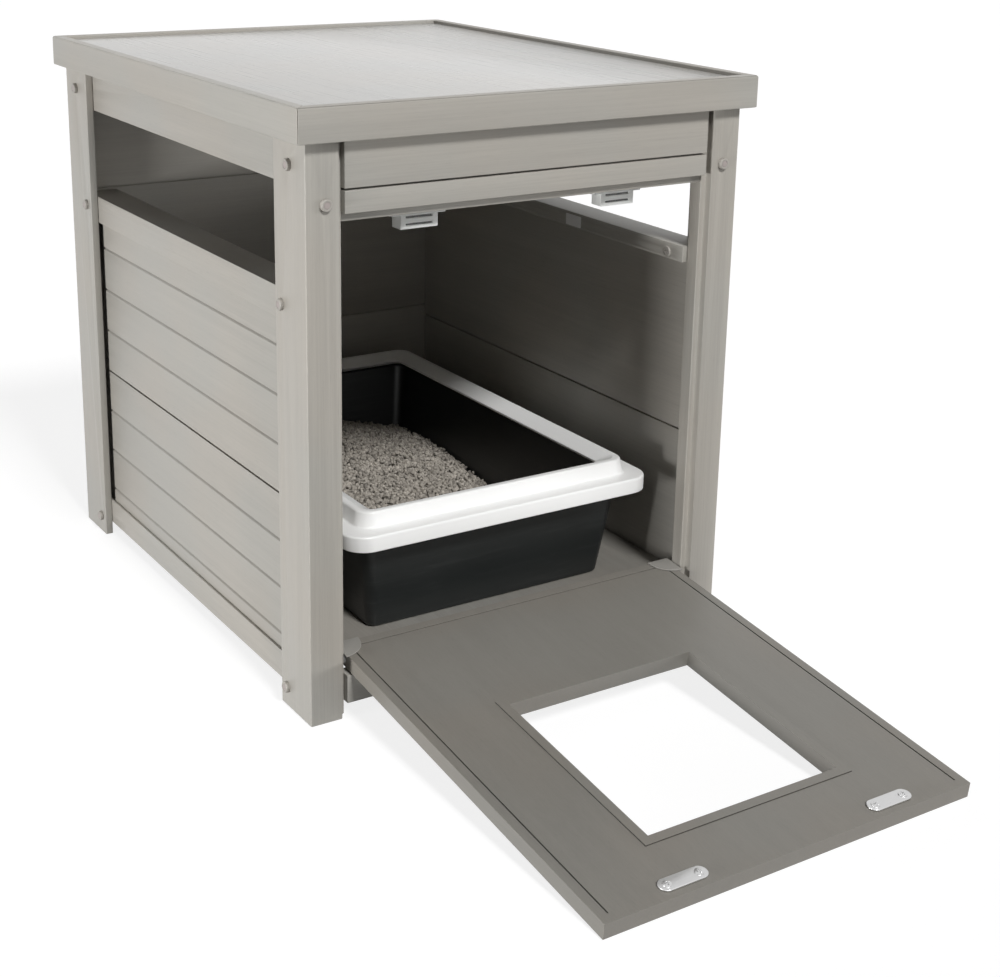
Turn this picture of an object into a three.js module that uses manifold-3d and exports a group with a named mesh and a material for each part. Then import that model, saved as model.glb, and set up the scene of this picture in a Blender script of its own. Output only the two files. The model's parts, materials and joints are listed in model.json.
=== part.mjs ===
// Cat litter box cabinet with a drop-down front door, holding a litter pan.
// Millimetres, +Z up, the front faces -Y. The door is modelled as it lies open, its free edge on the floor.
//
// Most outlines use two cabinet coordinates:
//   inset  distance from the outer side face of a corner post towards the middle, along X
//   depth  distance from the front face of the front posts towards the back, along Y

import * as THREE from 'three';
import { mergeVertices } from 'three/addons/utils/BufferGeometryUtils.js';
import Module from 'manifold-3d';

const wasm = await Module();
wasm.setup();

// ---------------------------------------------------------------- driving dimensions

const bodyWidth = 462; // across the outer faces of the posts
const bodyDepth = 576; // front face of the front posts to back face of the back posts
const cabinetHeight = 559; // floor to the rim of the lid
const fit = 0.3; // gap between pieces that are set into or against each other
const cutMargin = 1; // how far a cutting tool runs past the face it cuts

// lid
const lidTrimHeight = 30.5;
const lidTrimThickness = 11;
const lidOverhangSide = 11.5;
const lidOverhangFront = 11;
const lidOverhangBack = 6;
const lidRimProud = 3.5; // how far the trims stand above the top panel
const lidTrimChamfer = 1.2;
const topPanelThickness = 12.5;

// corner posts, an L-shaped section with a stepped inner layer
const postPlate = 8; // thickness of the outer plates
const postFrontWidth = 31.4; // width of the front plate
const postSideWidth = 59.5; // width of the side plate
const postStep = 5.6; // how far the inner layer shows past the front plate
const backLayerThickness = 6.7; // inner layer of the back posts

// side rails and side boards
const sideRailThickness = 34;
const topRailHeight = 57.7;
const windowHeight = 93.6;
const sillHeight = 28.7;
const sillInnerHeight = 16;
const sillGrooveDepth = 1.5;
const bottomRailBottom = 13.5;
const bottomRailHeight = 27.5;
const bottomRailInnerHeight = 21.5;
const bottomRailGrooveDepth = 12.3;
const railLip = 2.7; // rail wall in front of the boards
const boardThickness = 10;
const plankPitch = 46.6;
const planksPerBoard = 4;
const sideJointHeight = 195.4; // joint between the lower and the upper side board
const boardGrooveWidth = 3.2;
const boardGrooveDepth = 2;
const boardTongueThickness = 3.6;
const boardTongueHeight = 6;
const boardJointGap = 2;
const endTongueThickness = 4;
const endShadowGap = 3; // open slot between a side board's face and the post plate

// front rails
const frontSetBack = 1; // front rails stand this far behind the post face
const apronThickness = 14;
const apronHeight = 56;
const apronGap = 1.8; // shadow line between the apron and the lower rail
const lowerRailHeight = 27.2;
const lowerRailFaceHeight = 19.7; // below its face the rail is set back by the post plate
const lowerRailMargin = 1.8; // rail behind the catches
const frontBottomRailThickness = 16.5;

// back wall
const backJointHeight = 208.3;
const backRailSetBack = 1;

// floor panel
const floorThickness = 10;
const floorFrontClearance = 1.35; // to the sweep of the door's lip

// bolts and their inner nuts
const boltHeadRadius = 5.3;
const boltHeadHeight = 4;
const boltHeadChamfer = 0.8;
const boltShankRadius = 2.5;
const boltHoleClearance = 0.25;
const boltShankLength = 33;
const frontBoltShankLength = 20;
const nutRadius = 6;
const nutCapHeight = 2;
const topBoltDepth = 30; // from the front or the back face
const topBoltDrop = 37; // below the underside of the top panel
const lowBoltDepth = 47.5;
const sillBoltDrop = 9.7; // below the top of the sill
const bottomBoltRise = 6; // above the underside of the bottom rail
const frontBoltInset = 18.5;

// door
const doorThickness = 14;
const doorSideGap = 4; // between the door and each front post
const doorTopGap = 2.5; // between the closed door and the lower rail
const doorFaceGap = 1; // from the closed door's outer face to the back of the post plate
const doorAxisRise = 10.5; // pin's axis above the front bottom rail
const doorAxisInset = 7; // hinge edge of the full-thickness panel to the pin's axis
const doorLipLength = 7;
const doorLipThickness = 5;
const doorGrooveInset = 9.5;
const doorGrooveWidth = 1.4;
const doorGrooveDepth = 1.2;
const doorGrooveEnd = 9; // the side grooves stop this far short of the free edge
const doorHoleWidth = 200;
const doorHoleLength = 199;
const doorHoleMargin = 66.5; // hole to the free edge
const holeFrameWall = 9;
const holeFrameProud = 0.8;
const capRadius = 25;
const capThickness = 1.5;
const capGap = 1; // between a corner cap and its post
const strikeLength = 46;
const strikeWidth = 14;
const strikeThickness = 1.6;
const strikeSpread = 107.7; // middle of the cabinet to the middle of a strike or catch
const strikeMargin = 13; // middle of a strike to the free edge
const pinRadius = 4;
const pinClearance = 0.06;
const pinInPost = 11;
const pinInDoor = 18;
const pinCollarRadius = 6;
const pinCollarLength = 3;

// magnetic catches
const catchWidth = 38;
const catchHeight = 17.5;
const catchDepth = 15;
const catchEarLength = 8;
const catchEarHeight = 5.5;
const catchSlotLength = 27;
const catchSlotHeight = 1.8;
const catchSlotDepth = 2;
const catchSlotSpacing = 6.5;
const catchSlotLowering = 1.5; // middle of the two slots below the middle of the body

// litter pan and its snap-on rim: each outset is measured from the outline of the pan's base
const panSideClearance = 17.7; // rim to the side rails
const panFrontClearance = 8; // rim behind the closed door
const panBackClearance = 29; // rim to the back boards
const panBaseCorner = 9;
const panCornerGrowth = 0.38; // growth of the corners' radius for each unit of outset
const panFlare = 16; // how much wider the pan stands on each side at its top
const panHeight = 107.5;
const panWall = 2.5;
const panFlangeWidth = 16.5;
const panFlangeThickness = 3;
const rimWall = 3;
const rimLipGap = 1.5; // between the pan's flange and the inside of the rim's lip
const rimLipDrop = 12.5; // the lip's lower edge below the top of the pan
const rimStepWidth = 17; // the lip's outer face to the foot of the raised wall
const rimWallLean = 3; // the raised wall's top stands this far inside its foot
const rimCrestRise = 18.5; // crest above the top of the pan
const rimCrestRounding = 2;
const rimMouthInset = 20; // inner edge of the rim inside the top of the raised wall
const rimMouthRise = 8.5; // inner edge above the top of the pan

// the heap of litter, highest towards the back left
const heapBedHeight = 12.7; // surface far from the heap, above the underside of the pan
const heapRise = 60;
const heapX = -40;
const heapBackDistance = 65; // from the back of the pan's base
const heapSpreadX = 175;
const heapSpreadDepth = 165;

// ---------------------------------------------------------------- derived levels and places

const halfWidth = bodyWidth / 2;
const topPanelTop = cabinetHeight - lidRimProud;
const topPanelBottom = topPanelTop - topPanelThickness;
const lidTrimBottom = cabinetHeight - lidTrimHeight;
const topRailBottom = topPanelBottom - topRailHeight;
const sillTop = topRailBottom - windowHeight;
const sillBottom = sillTop - sillHeight;
const sillInnerBottom = sillTop - sillInnerHeight;
const bottomRailTop = bottomRailBottom + bottomRailHeight;
const bottomRailInnerTop = bottomRailBottom + bottomRailInnerHeight;
const boardBottom = bottomRailTop - bottomRailGrooveDepth + fit;
const boardTop = sillInnerBottom + sillGrooveDepth - fit;
const apronBottom = topPanelBottom - apronHeight;
const lowerRailTop = apronBottom - apronGap;
const lowerRailBottom = lowerRailTop - lowerRailHeight;
const lowerRailFaceBottom = lowerRailTop - lowerRailFaceHeight;
const topBoltHeight = topPanelBottom - topBoltDrop;
const sillBoltHeight = sillTop - sillBoltDrop;
const bottomBoltHeight = bottomRailBottom + bottomBoltRise;
const frontBoltHeight = (lowerRailTop + lowerRailFaceBottom) / 2;

const doorAxisHeight = bottomRailTop + doorAxisRise;
const doorReach = lowerRailBottom - doorTopGap - doorAxisHeight; // pin's axis to the free edge
const doorInner = doorThickness / 2; // the door's faces, from its pins' axis
const doorOuter = -doorThickness / 2;
const doorAxisDepth = postPlate + doorFaceGap - doorOuter;
const doorInnerDepth = doorAxisDepth + doorInner; // the closed door's inner face
const doorLipSweep = Math.hypot(doorInner, doorAxisInset + doorLipLength);
// The open door leans on the floor by the outer edge of its free end.
const doorSlope = Math.asin((doorAxisHeight - fit) / Math.hypot(doorReach, doorInner))
  - Math.atan(doorInner / doorReach);
const doorOpenAngle = Math.PI / 2 + doorSlope;
const strikeDistance = doorReach - strikeMargin;
const doorHoleStart = doorReach - doorHoleMargin - doorHoleLength;
const catchFront = doorInnerDepth + fit + strikeThickness + fit;
const catchBack = catchFront + catchDepth;
const lowerRailBack = catchBack + lowerRailMargin;

const postInnerInset = postFrontWidth + postStep;
const frontLayerBack = doorInnerDepth; // the front posts' inner layer ends level with the closed door
const backLayerFront = bodyDepth - postPlate - backLayerThickness;
const betweenPosts = halfWidth - postInnerInset - fit; // half length of the front and back rails
const doorHalf = halfWidth - postInnerInset - doorSideGap;

const railOuter = postPlate + fit;
const railInner = railOuter + sideRailThickness;
const boardOuter = railOuter + railLip + fit;
const boardInner = boardOuter + boardThickness;
const grooveInner = boardInner + fit;
const backBoardOuter = backLayerFront - fit;
const backBoardInner = backBoardOuter - boardThickness;
const sideRailFront = frontLayerBack + fit;
const sideRailBack = backBoardInner - fit;

const floorTop = bottomRailInnerTop + floorThickness;
const floorFront = doorAxisDepth + doorLipSweep + floorFrontClearance;
const rimLipInner = panFlare + panFlangeWidth + rimLipGap;
const rimLipOuter = rimLipInner + rimWall;
const rimWallFoot = rimLipOuter - rimStepWidth;
const rimWallTop = rimWallFoot - rimWallLean;
const panBaseHalfWidth = halfWidth - railInner - panSideClearance - rimLipOuter;
const panFrontDepth = doorInnerDepth + panFrontClearance + rimLipOuter; // front of the pan's base
const panBackDepth = backBoardInner - panBackClearance - rimLipOuter;
const panBase = floorTop + fit;
const panTop = panBase + panHeight;
const heapLevel = panBase + heapBedHeight;
const heapDepth = panBackDepth - heapBackDistance;

// ---------------------------------------------------------------- materials

function finish(color, roughness, metalness = 0) {
  return new THREE.MeshStandardMaterial({ color, roughness, metalness });
}

const materials = {
  composite: finish(0xa9a59c, 0.62),
  compositeTop: finish(0xb7b5b0, 0.55),
  doorComposite: finish(0x8f8b83, 0.6),
  boltCap: finish(0xa39c96, 0.5),
  satinMetal: finish(0xc2c3c4, 0.35, 0.9),
  hingePlastic: finish(0x8d8981, 0.5),
  catchPlastic: finish(0xeeefec, 0.4),
  panPlastic: finish(0x1d1f1f, 0.42),
  rimPlastic: finish(0xf2f2f0, 0.3),
  litter: finish(0xa39c90, 0.95),
};

// ---------------------------------------------------------------- geometry helpers

// Side is -1 on the left and +1 on the right; the cabinet's middle is X = 0 and Y = 0.
const xOf = (inset, side) => side * (halfWidth - inset);
const yOf = (depth) => depth - bodyDepth / 2;

function prism(points, length) {
  const shape = new THREE.Shape(points.map(([a, b]) => new THREE.Vector2(a, b)));
  return new THREE.ExtrudeGeometry(shape, { depth: length, bevelEnabled: false });
}

// An outline in (X, Y) raised from one height to another.
function uprightPrism(points, bottom, top) {
  return prism(points, top - bottom).translate(0, 0, bottom);
}

// An outline in (Y, Z) run along X.
function prismAlongX(points, from, to) {
  const yzToXyz = new THREE.Matrix4().set(0, 0, 1, from, 1, 0, 0, 0, 0, 1, 0, 0, 0, 0, 0, 1);
  return prism(points, to - from).applyMatrix4(yzToXyz);
}

// An outline in (X, Z) run along Y.
function prismAlongY(points, from, to) {
  return prism(points, to - from).rotateX(Math.PI / 2).translate(0, to, 0);
}

function block(x0, x1, y0, y1, z0, z1) {
  const geometry = new THREE.BoxGeometry(Math.abs(x1 - x0), Math.abs(y1 - y0), Math.abs(z1 - z0));
  return geometry.translate((x0 + x1) / 2, (y0 + y1) / 2, (z0 + z1) / 2);
}

// A round bar along X, measured across its corners by the radius given.
function barAlongX(radius, from, to, y, z, sides = 16) {
  const geometry = new THREE.CylinderGeometry(radius, radius, Math.abs(to - from), sides);
  return geometry.rotateZ(Math.PI / 2).translate((from + to) / 2, y, z);
}

function barAlongY(radius, from, to, x, z, sides = 16) {
  const geometry = new THREE.CylinderGeometry(radius, radius, Math.abs(to - from), sides);
  return geometry.translate(x, (from + to) / 2, z);
}

function toManifold(geometry) {
  const bare = geometry.clone();
  bare.deleteAttribute('normal');
  bare.deleteAttribute('uv');
  const merged = mergeVertices(bare, 1e-4);
  return new wasm.Manifold(new wasm.Mesh({
    numProp: 3,
    vertProperties: new Float32Array(merged.attributes.position.array),
    triVerts: new Uint32Array(merged.index.array),
  }));
}

function toGeometry(manifold) {
  const mesh = manifold.getMesh();
  const geometry = new THREE.BufferGeometry();
  geometry.setAttribute('position', new THREE.BufferAttribute(new Float32Array(mesh.vertProperties), 3));
  geometry.setIndex(new THREE.BufferAttribute(new Uint32Array(mesh.triVerts), 1));
  geometry.computeVertexNormals();
  return geometry;
}

function cut(geometry, tools) {
  return toGeometry(tools.reduce((solid, tool) => solid.subtract(toManifold(tool)), toManifold(geometry)));
}

function join(geometries) {
  return toGeometry(geometries.map(toManifold).reduce((solid, next) => solid.add(next)));
}

// The corners of a rectangle with round corners, counter-clockwise, centred on (0, centreY).
function roundedRectangle(halfX, halfY, radius, centreY = 0, stepsPerCorner = 6) {
  const points = [];
  const corners = [[1, -1, -90], [1, 1, 0], [-1, 1, 90], [-1, -1, 180]];
  for (const [sx, sy, start] of corners) {
    for (let step = 0; step <= stepsPerCorner; step += 1) {
      const angle = THREE.MathUtils.degToRad(start + (90 * step) / stepsPerCorner);
      const x = sx * (halfX - radius) + radius * Math.cos(angle);
      const y = sy * (halfY - radius) + radius * Math.sin(angle);
      points.push([x, y + centreY]);
    }
  }
  return points;
}

// Triangles between neighbouring rings of equal point counts, each ring a list of [x, y, z].
function skinFaces(ringCount, count, closed) {
  const faces = [];
  const bands = closed ? ringCount : ringCount - 1;
  for (let band = 0; band < bands; band += 1) {
    const lower = band * count;
    const upper = ((band + 1) % ringCount) * count;
    for (let i = 0; i < count; i += 1) {
      const next = (i + 1) % count;
      faces.push(lower + i, lower + next, upper + next);
      faces.push(lower + i, upper + next, upper + i);
    }
  }
  return faces;
}

function indexedGeometry(points, faces) {
  const geometry = new THREE.BufferGeometry();
  geometry.setAttribute('position', new THREE.Float32BufferAttribute(points.flat(), 3));
  geometry.setIndex(faces);
  geometry.computeVertexNormals();
  return geometry;
}

// A solid skinned over a stack of rings and closed by a fan over its first and its last ring.
function loft(rings) {
  const count = rings[0].length;
  const middle = (ring) => [0, 1, 2].map((axis) => ring.reduce((sum, point) => sum + point[axis], 0) / count);
  const points = [...rings.flat(), middle(rings[0]), middle(rings[rings.length - 1])];
  const first = rings.length * count;
  const lastRing = first - count;
  const faces = skinFaces(rings.length, count, false);
  for (let i = 0; i < count; i += 1) {
    const next = (i + 1) % count;
    faces.push(first, next, i);
    faces.push(first + 1, lastRing + i, lastRing + next);
  }
  return indexedGeometry(points, faces);
}

// A closed ring-shaped solid: the rings go once round its section, and the last one meets the first.
function hoop(rings) {
  return indexedGeometry(rings.flat(), skinFaces(rings.length, rings[0].length, true));
}

// ---------------------------------------------------------------- the scene graph

// The open door reaches forward of the cabinet, so the whole part is shifted back along Y to stand its
// bounding box over the origin.
const doorFrontY = yOf(doorAxisDepth) - doorReach * Math.cos(doorSlope) - doorInner * Math.sin(doorSlope);
const lidBackY = yOf(bodyDepth) + lidOverhangBack;
const originShift = -(doorFrontY + lidBackY) / 2;

const part = new THREE.Group();
part.position.y = originShift;

const doorGroup = new THREE.Group();
doorGroup.position.set(0, yOf(doorAxisDepth), doorAxisHeight);
doorGroup.rotation.x = doorOpenAngle;
part.add(doorGroup);

function add(name, geometry, material, parent = part) {
  const mesh = new THREE.Mesh(geometry, material);
  mesh.name = name;
  parent.add(mesh);
}

const sides = [{ word: 'left', sign: -1 }, { word: 'right', sign: 1 }];

// ---------------------------------------------------------------- bolts

// Where the bolts sit on one side of the cabinet, by cabinet depth and height.
function sideBoltPlaces() {
  const ends = [
    { end: 'front', depthOf: (depth) => depth },
    { end: 'back', depthOf: (depth) => bodyDepth - depth },
  ];
  return ends.flatMap(({ end, depthOf }) => [
    { name: `${end}_top`, depth: depthOf(topBoltDepth), height: topBoltHeight, through: false },
    { name: `${end}_sill`, depth: depthOf(lowBoltDepth), height: sillBoltHeight, through: true },
    { name: `${end}_bottom`, depth: depthOf(lowBoltDepth), height: bottomBoltHeight, through: false },
  ]);
}

const boltHoleRadius = boltShankRadius + boltHoleClearance;

function sideBoltHoles(side) {
  return sideBoltPlaces().map(({ depth, height, through }) => {
    const end = (through ? railInner : boltShankLength) + cutMargin;
    return barAlongX(boltHoleRadius, xOf(-cutMargin, side), xOf(end, side), yOf(depth), height, 12);
  });
}

function frontBoltHole(side) {
  const start = yOf(-cutMargin);
  const end = yOf(frontBoltShankLength + cutMargin);
  return barAlongY(boltHoleRadius, start, end, xOf(frontBoltInset, side), frontBoltHeight, 12);
}

// Head and shank in one turned profile, the head outside the post, the shank inwards along +Z.
function boltProfile(shankLength) {
  const points = [
    [0, -boltHeadHeight],
    [boltHeadRadius - boltHeadChamfer, -boltHeadHeight],
    [boltHeadRadius, -boltHeadHeight + boltHeadChamfer],
    [boltHeadRadius, 0],
    [boltShankRadius, 0],
    [boltShankRadius, shankLength],
    [0, shankLength],
  ];
  return points.map(([radius, height]) => new THREE.Vector2(radius, height));
}

function addSideBolts({ word, sign }) {
  for (const { name, depth, height, through } of sideBoltPlaces()) {
    const length = through ? railInner - fit : boltShankLength;
    const bolt = new THREE.LatheGeometry(boltProfile(length), 16);
    bolt.rotateZ((sign * Math.PI) / 2).translate(xOf(0, sign), yOf(depth), height);
    add(`${word}_bolt_${name}`, bolt, materials.boltCap);
    if (through) {
      const [nutFrom, nutTo] = [xOf(railInner, sign), xOf(railInner + nutCapHeight, sign)];
      const nut = barAlongX(nutRadius, nutFrom, nutTo, yOf(depth), height);
      add(`${word}_nut_${name}`, nut, materials.boltCap);
    }
  }
}

function addFrontBolts({ word, sign }) {
  const bolt = new THREE.LatheGeometry(boltProfile(frontBoltShankLength), 16);
  bolt.translate(xOf(frontBoltInset, sign), yOf(0), frontBoltHeight);
  add(`${word}_bolt_front_rail`, bolt, materials.boltCap);
}

// ---------------------------------------------------------------- posts

function postOutline(side, end) {
  const layerBack = end === 'front' ? frontLayerBack : bodyDepth - backLayerFront;
  const section = [
    [0, 0],
    [postFrontWidth, 0],
    [postFrontWidth, postPlate],
    [postInnerInset, postPlate],
    [postInnerInset, layerBack],
    [postPlate, layerBack],
    [postPlate, postSideWidth],
    [0, postSideWidth],
  ];
  const depthOf = (depth) => (end === 'front' ? depth : bodyDepth - depth);
  return section.map(([inset, depth]) => [xOf(inset, side), yOf(depthOf(depth))]);
}

function pinHole(side) {
  const radius = (pinRadius + pinClearance) / Math.cos(Math.PI / 16);
  const mouth = xOf(postInnerInset + cutMargin, side);
  const bottom = xOf(postInnerInset - pinInPost - fit, side);
  return barAlongX(radius, mouth, bottom, yOf(doorAxisDepth), doorAxisHeight);
}

function addPosts({ word, sign }) {
  const front = uprightPrism(postOutline(sign, 'front'), 0, topPanelBottom);
  const frontCuts = [...sideBoltHoles(sign), frontBoltHole(sign), pinHole(sign)];
  add(`front_${word}_post`, cut(front, frontCuts), materials.composite);
  const back = uprightPrism(postOutline(sign, 'back'), 0, topPanelBottom);
  add(`back_${word}_post`, cut(back, sideBoltHoles(sign)), materials.composite);
}

// ---------------------------------------------------------------- sides

// A closed outline in (inset, Z) turned to (X, Z) on the given side and run along the side rails.
function sideRail(outline, side) {
  const points = outline.map(([inset, z]) => [xOf(inset, side), z]);
  return cut(prismAlongY(points, yOf(sideRailFront), yOf(sideRailBack)), sideBoltHoles(side));
}

const topRailOutline = [
  [railOuter, topRailBottom],
  [railInner, topRailBottom],
  [railInner, topPanelBottom],
  [railOuter, topPanelBottom],
];

const sillOutline = [
  [railOuter, sillBottom],
  [railOuter + railLip, sillBottom],
  [railOuter + railLip, sillInnerBottom + sillGrooveDepth],
  [grooveInner, sillInnerBottom + sillGrooveDepth],
  [grooveInner, sillInnerBottom],
  [railInner, sillInnerBottom],
  [railInner, sillTop],
  [railOuter, sillTop],
];

const bottomRailOutline = [
  [railOuter, bottomRailBottom],
  [railInner, bottomRailBottom],
  [railInner, bottomRailInnerTop],
  [grooveInner, bottomRailInnerTop],
  [grooveInner, boardBottom - fit],
  [railOuter + railLip, boardBottom - fit],
  [railOuter + railLip, bottomRailTop],
  [railOuter, bottomRailTop],
];

// The edge profile of a board, as (offset from its outer face, Z): the outer face has a V groove between
// planks, the inner face is smooth, and the ends have a tongue or the slot that takes a tongue.
function boardOutline({ bottom, top, grooves, bottomSlot, topTongue }) {
  const half = boardGrooveWidth / 2;
  const tongueFrom = (boardThickness - boardTongueThickness) / 2;
  const tongueTo = tongueFrom + boardTongueThickness;
  const outer = grooves.flatMap((z) => [[0, z - half], [boardGrooveDepth, z], [0, z + half]]);
  const slotTop = bottom + boardTongueHeight;
  const slot = [
    [tongueTo + fit, bottom],
    [tongueTo + fit, slotTop],
    [tongueFrom - fit, slotTop],
    [tongueFrom - fit, bottom],
  ];
  const tongueTop = top + boardJointGap + boardTongueHeight - 2 * fit;
  const tongue = [[tongueFrom, top], [tongueFrom, tongueTop], [tongueTo, tongueTop], [tongueTo, top]];
  return [
    [0, bottom],
    ...outer,
    [0, top],
    ...(topTongue ? tongue : []),
    [boardThickness, top],
    [boardThickness, bottom],
    ...(bottomSlot ? slot : []),
  ];
}

// Plank joints that lie inside a board, counted in plank pitches from a board joint.
function plankJoints(joint, bottom, top) {
  const count = 2 * planksPerBoard;
  const heights = Array.from({ length: 2 * count + 1 }, (_, i) => joint + (i - count) * plankPitch);
  return heights.filter((z) => z !== joint && z > bottom + boardGrooveWidth && z < top - boardGrooveWidth);
}

function sideBoard(side, board) {
  const points = boardOutline(board).map(([offset, z]) => [xOf(boardOuter + offset, side), z]);
  const solid = prismAlongY(points, yOf(sideRailFront), yOf(sideRailBack));
  // At both ends only an inner tongue runs on behind the post, so a narrow dark slot shows beside it.
  const rebate = postSideWidth + endShadowGap;
  const rebateInner = xOf(boardInner - endTongueThickness, side);
  const rebateOuter = xOf(boardOuter - cutMargin, side);
  const low = board.bottom - cutMargin;
  const high = board.top + boardTongueHeight + boardJointGap;
  const [x0, x1] = [Math.min(rebateInner, rebateOuter), Math.max(rebateInner, rebateOuter)];
  return cut(solid, [
    block(x0, x1, yOf(0), yOf(rebate), low, high),
    block(x0, x1, yOf(bodyDepth - rebate), yOf(bodyDepth), low, high),
  ]);
}

const lowerSideBoard = {
  bottom: boardBottom,
  top: sideJointHeight - boardJointGap / 2,
  grooves: plankJoints(sideJointHeight, bottomRailTop, sideJointHeight),
  bottomSlot: false,
  topTongue: true,
};

const upperSideBoard = {
  bottom: sideJointHeight + boardJointGap / 2,
  top: boardTop,
  grooves: plankJoints(sideJointHeight, sideJointHeight, sillBottom),
  bottomSlot: true,
  topTongue: false,
};

function addSide({ word, sign }) {
  add(`${word}_top_rail`, sideRail(topRailOutline, sign), materials.composite);
  add(`${word}_sill_rail`, sideRail(sillOutline, sign), materials.composite);
  add(`${word}_bottom_rail`, sideRail(bottomRailOutline, sign), materials.composite);
  add(`${word}_upper_board`, sideBoard(sign, upperSideBoard), materials.composite);
  add(`${word}_lower_board`, sideBoard(sign, lowerSideBoard), materials.composite);
}

// ---------------------------------------------------------------- front rails

function addFrontRails() {
  const face = yOf(frontSetBack);
  const apronBack = yOf(frontSetBack + apronThickness);
  const apron = block(-betweenPosts, betweenPosts, face, apronBack, apronBottom, topPanelBottom);
  add('front_apron', apron, materials.composite);

  const lowerRail = [
    [face, lowerRailFaceBottom],
    [yOf(postPlate), lowerRailFaceBottom],
    [yOf(postPlate), lowerRailBottom],
    [yOf(lowerRailBack), lowerRailBottom],
    [yOf(lowerRailBack), lowerRailTop],
    [face, lowerRailTop],
  ];
  add('front_lower_rail', prismAlongX(lowerRail, -betweenPosts, betweenPosts), materials.composite);

  const back = yOf(frontSetBack + frontBottomRailThickness);
  const bottomRail = block(-betweenPosts, betweenPosts, face, back, bottomRailBottom, bottomRailTop);
  add('front_bottom_rail', bottomRail, materials.composite);
}

// ---------------------------------------------------------------- back wall

function addBackWall() {
  const half = halfWidth - postPlate - fit;
  const boardLength = planksPerBoard * plankPitch;
  const joints = [backJointHeight - boardLength, backJointHeight, backJointHeight + boardLength];
  const words = ['lower', 'middle', 'upper'];
  joints.forEach((joint, index) => {
    const first = index === 0;
    const last = index === joints.length - 1;
    const bottom = first ? joint : joint + boardJointGap / 2;
    const top = last ? topPanelBottom : joints[index + 1] - boardJointGap / 2;
    const grooves = plankJoints(backJointHeight, bottom, top);
    const outline = boardOutline({ bottom, top, grooves, bottomSlot: !first, topTongue: !last });
    const points = outline.map(([offset, z]) => [yOf(backBoardOuter - offset), z]);
    add(`back_${words[index]}_board`, prismAlongX(points, -half, half), materials.composite);
  });

  const inner = yOf(backBoardOuter + fit);
  const outer = yOf(bodyDepth - backRailSetBack);
  const topRail = block(-betweenPosts, betweenPosts, inner, outer, topRailBottom, topPanelBottom);
  add('back_top_rail', topRail, materials.composite);
  const bottomRail = block(-betweenPosts, betweenPosts, inner, outer, bottomRailBottom, bottomRailTop);
  add('back_bottom_rail', bottomRail, materials.composite);
}

// ---------------------------------------------------------------- floor and lid

function addFloor() {
  const half = halfWidth - grooveInner;
  const back = yOf(backBoardInner - fit);
  const panel = block(-half, half, yOf(floorFront), back, bottomRailInnerTop, floorTop);
  add('floor_panel', panel, materials.composite);
}

// A lid trim runs along +X from its outer corner at the origin, mitred at both ends. Its upper part frames
// the top panel, and its skirt hangs down outside the posts.
function lidTrim(length, overhang) {
  const skirt = Math.min(lidTrimThickness, overhang - fit);
  const section = [
    [0, lidTrimBottom],
    [skirt, lidTrimBottom],
    [skirt, topPanelBottom + fit],
    [lidTrimThickness, topPanelBottom + fit],
    [lidTrimThickness, cabinetHeight],
    [lidTrimChamfer, cabinetHeight],
    [0, cabinetHeight - lidTrimChamfer],
  ];
  const bar = prismAlongX(section, 0, length);
  const t = lidTrimThickness;
  const m = cutMargin;
  const mitre = (points) => uprightPrism(points, lidTrimBottom - m, cabinetHeight + m);
  const near = mitre([[-m, -m - fit], [t + m + fit, t + m], [-m, t + m]]);
  const far = mitre([[length + m, -m - fit], [length + m, t + m], [length - t - m - fit, t + m]]);
  return cut(bar, [near, far]);
}

function addLid() {
  const left = -halfWidth - lidOverhangSide;
  const right = -left;
  const front = yOf(-lidOverhangFront);
  const back = yOf(bodyDepth + lidOverhangBack);
  const across = right - left;
  const along = back - front;
  const trims = [
    { word: 'front', length: across, overhang: lidOverhangFront, turn: 0, x: left, y: front },
    { word: 'right', length: along, overhang: lidOverhangSide, turn: Math.PI / 2, x: right, y: front },
    { word: 'back', length: across, overhang: lidOverhangBack, turn: Math.PI, x: right, y: back },
    { word: 'left', length: along, overhang: lidOverhangSide, turn: -Math.PI / 2, x: left, y: back },
  ];
  for (const { word, length, overhang, turn, x, y } of trims) {
    const trim = lidTrim(length, overhang).rotateZ(turn).translate(x, y, 0);
    add(`lid_${word}_trim`, trim, materials.composite);
  }

  const inset = lidTrimThickness + fit;
  const panel = block(left + inset, right - inset, front + inset, back - inset, topPanelBottom, topPanelTop);
  add('top_panel', panel, materials.compositeTop);
}

// ---------------------------------------------------------------- door

// The door is built upright and closed round its hinge pin: Y runs into the cabinet, Z up the door.
const doorBottom = -doorAxisInset;
const doorLipBottom = doorBottom - doorLipLength;

function rectangle(x0, x1, z0, z1) {
  return [[x0, z0], [x1, z0], [x1, z1], [x0, z1]];
}

function doorGrooves() {
  const side = doorHalf - doorGrooveInset;
  const low = doorLipBottom + doorGrooveInset;
  const high = doorReach - doorGrooveEnd;
  const half = doorGrooveWidth / 2;
  const strips = [
    rectangle(-side - half, -side + half, low, high),
    rectangle(side - half, side + half, low, high),
    rectangle(-side - half, side + half, low - half, low + half),
  ];
  return strips.map((strip) => prismAlongY(strip, doorInner - doorGrooveDepth, doorInner + cutMargin));
}

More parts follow.
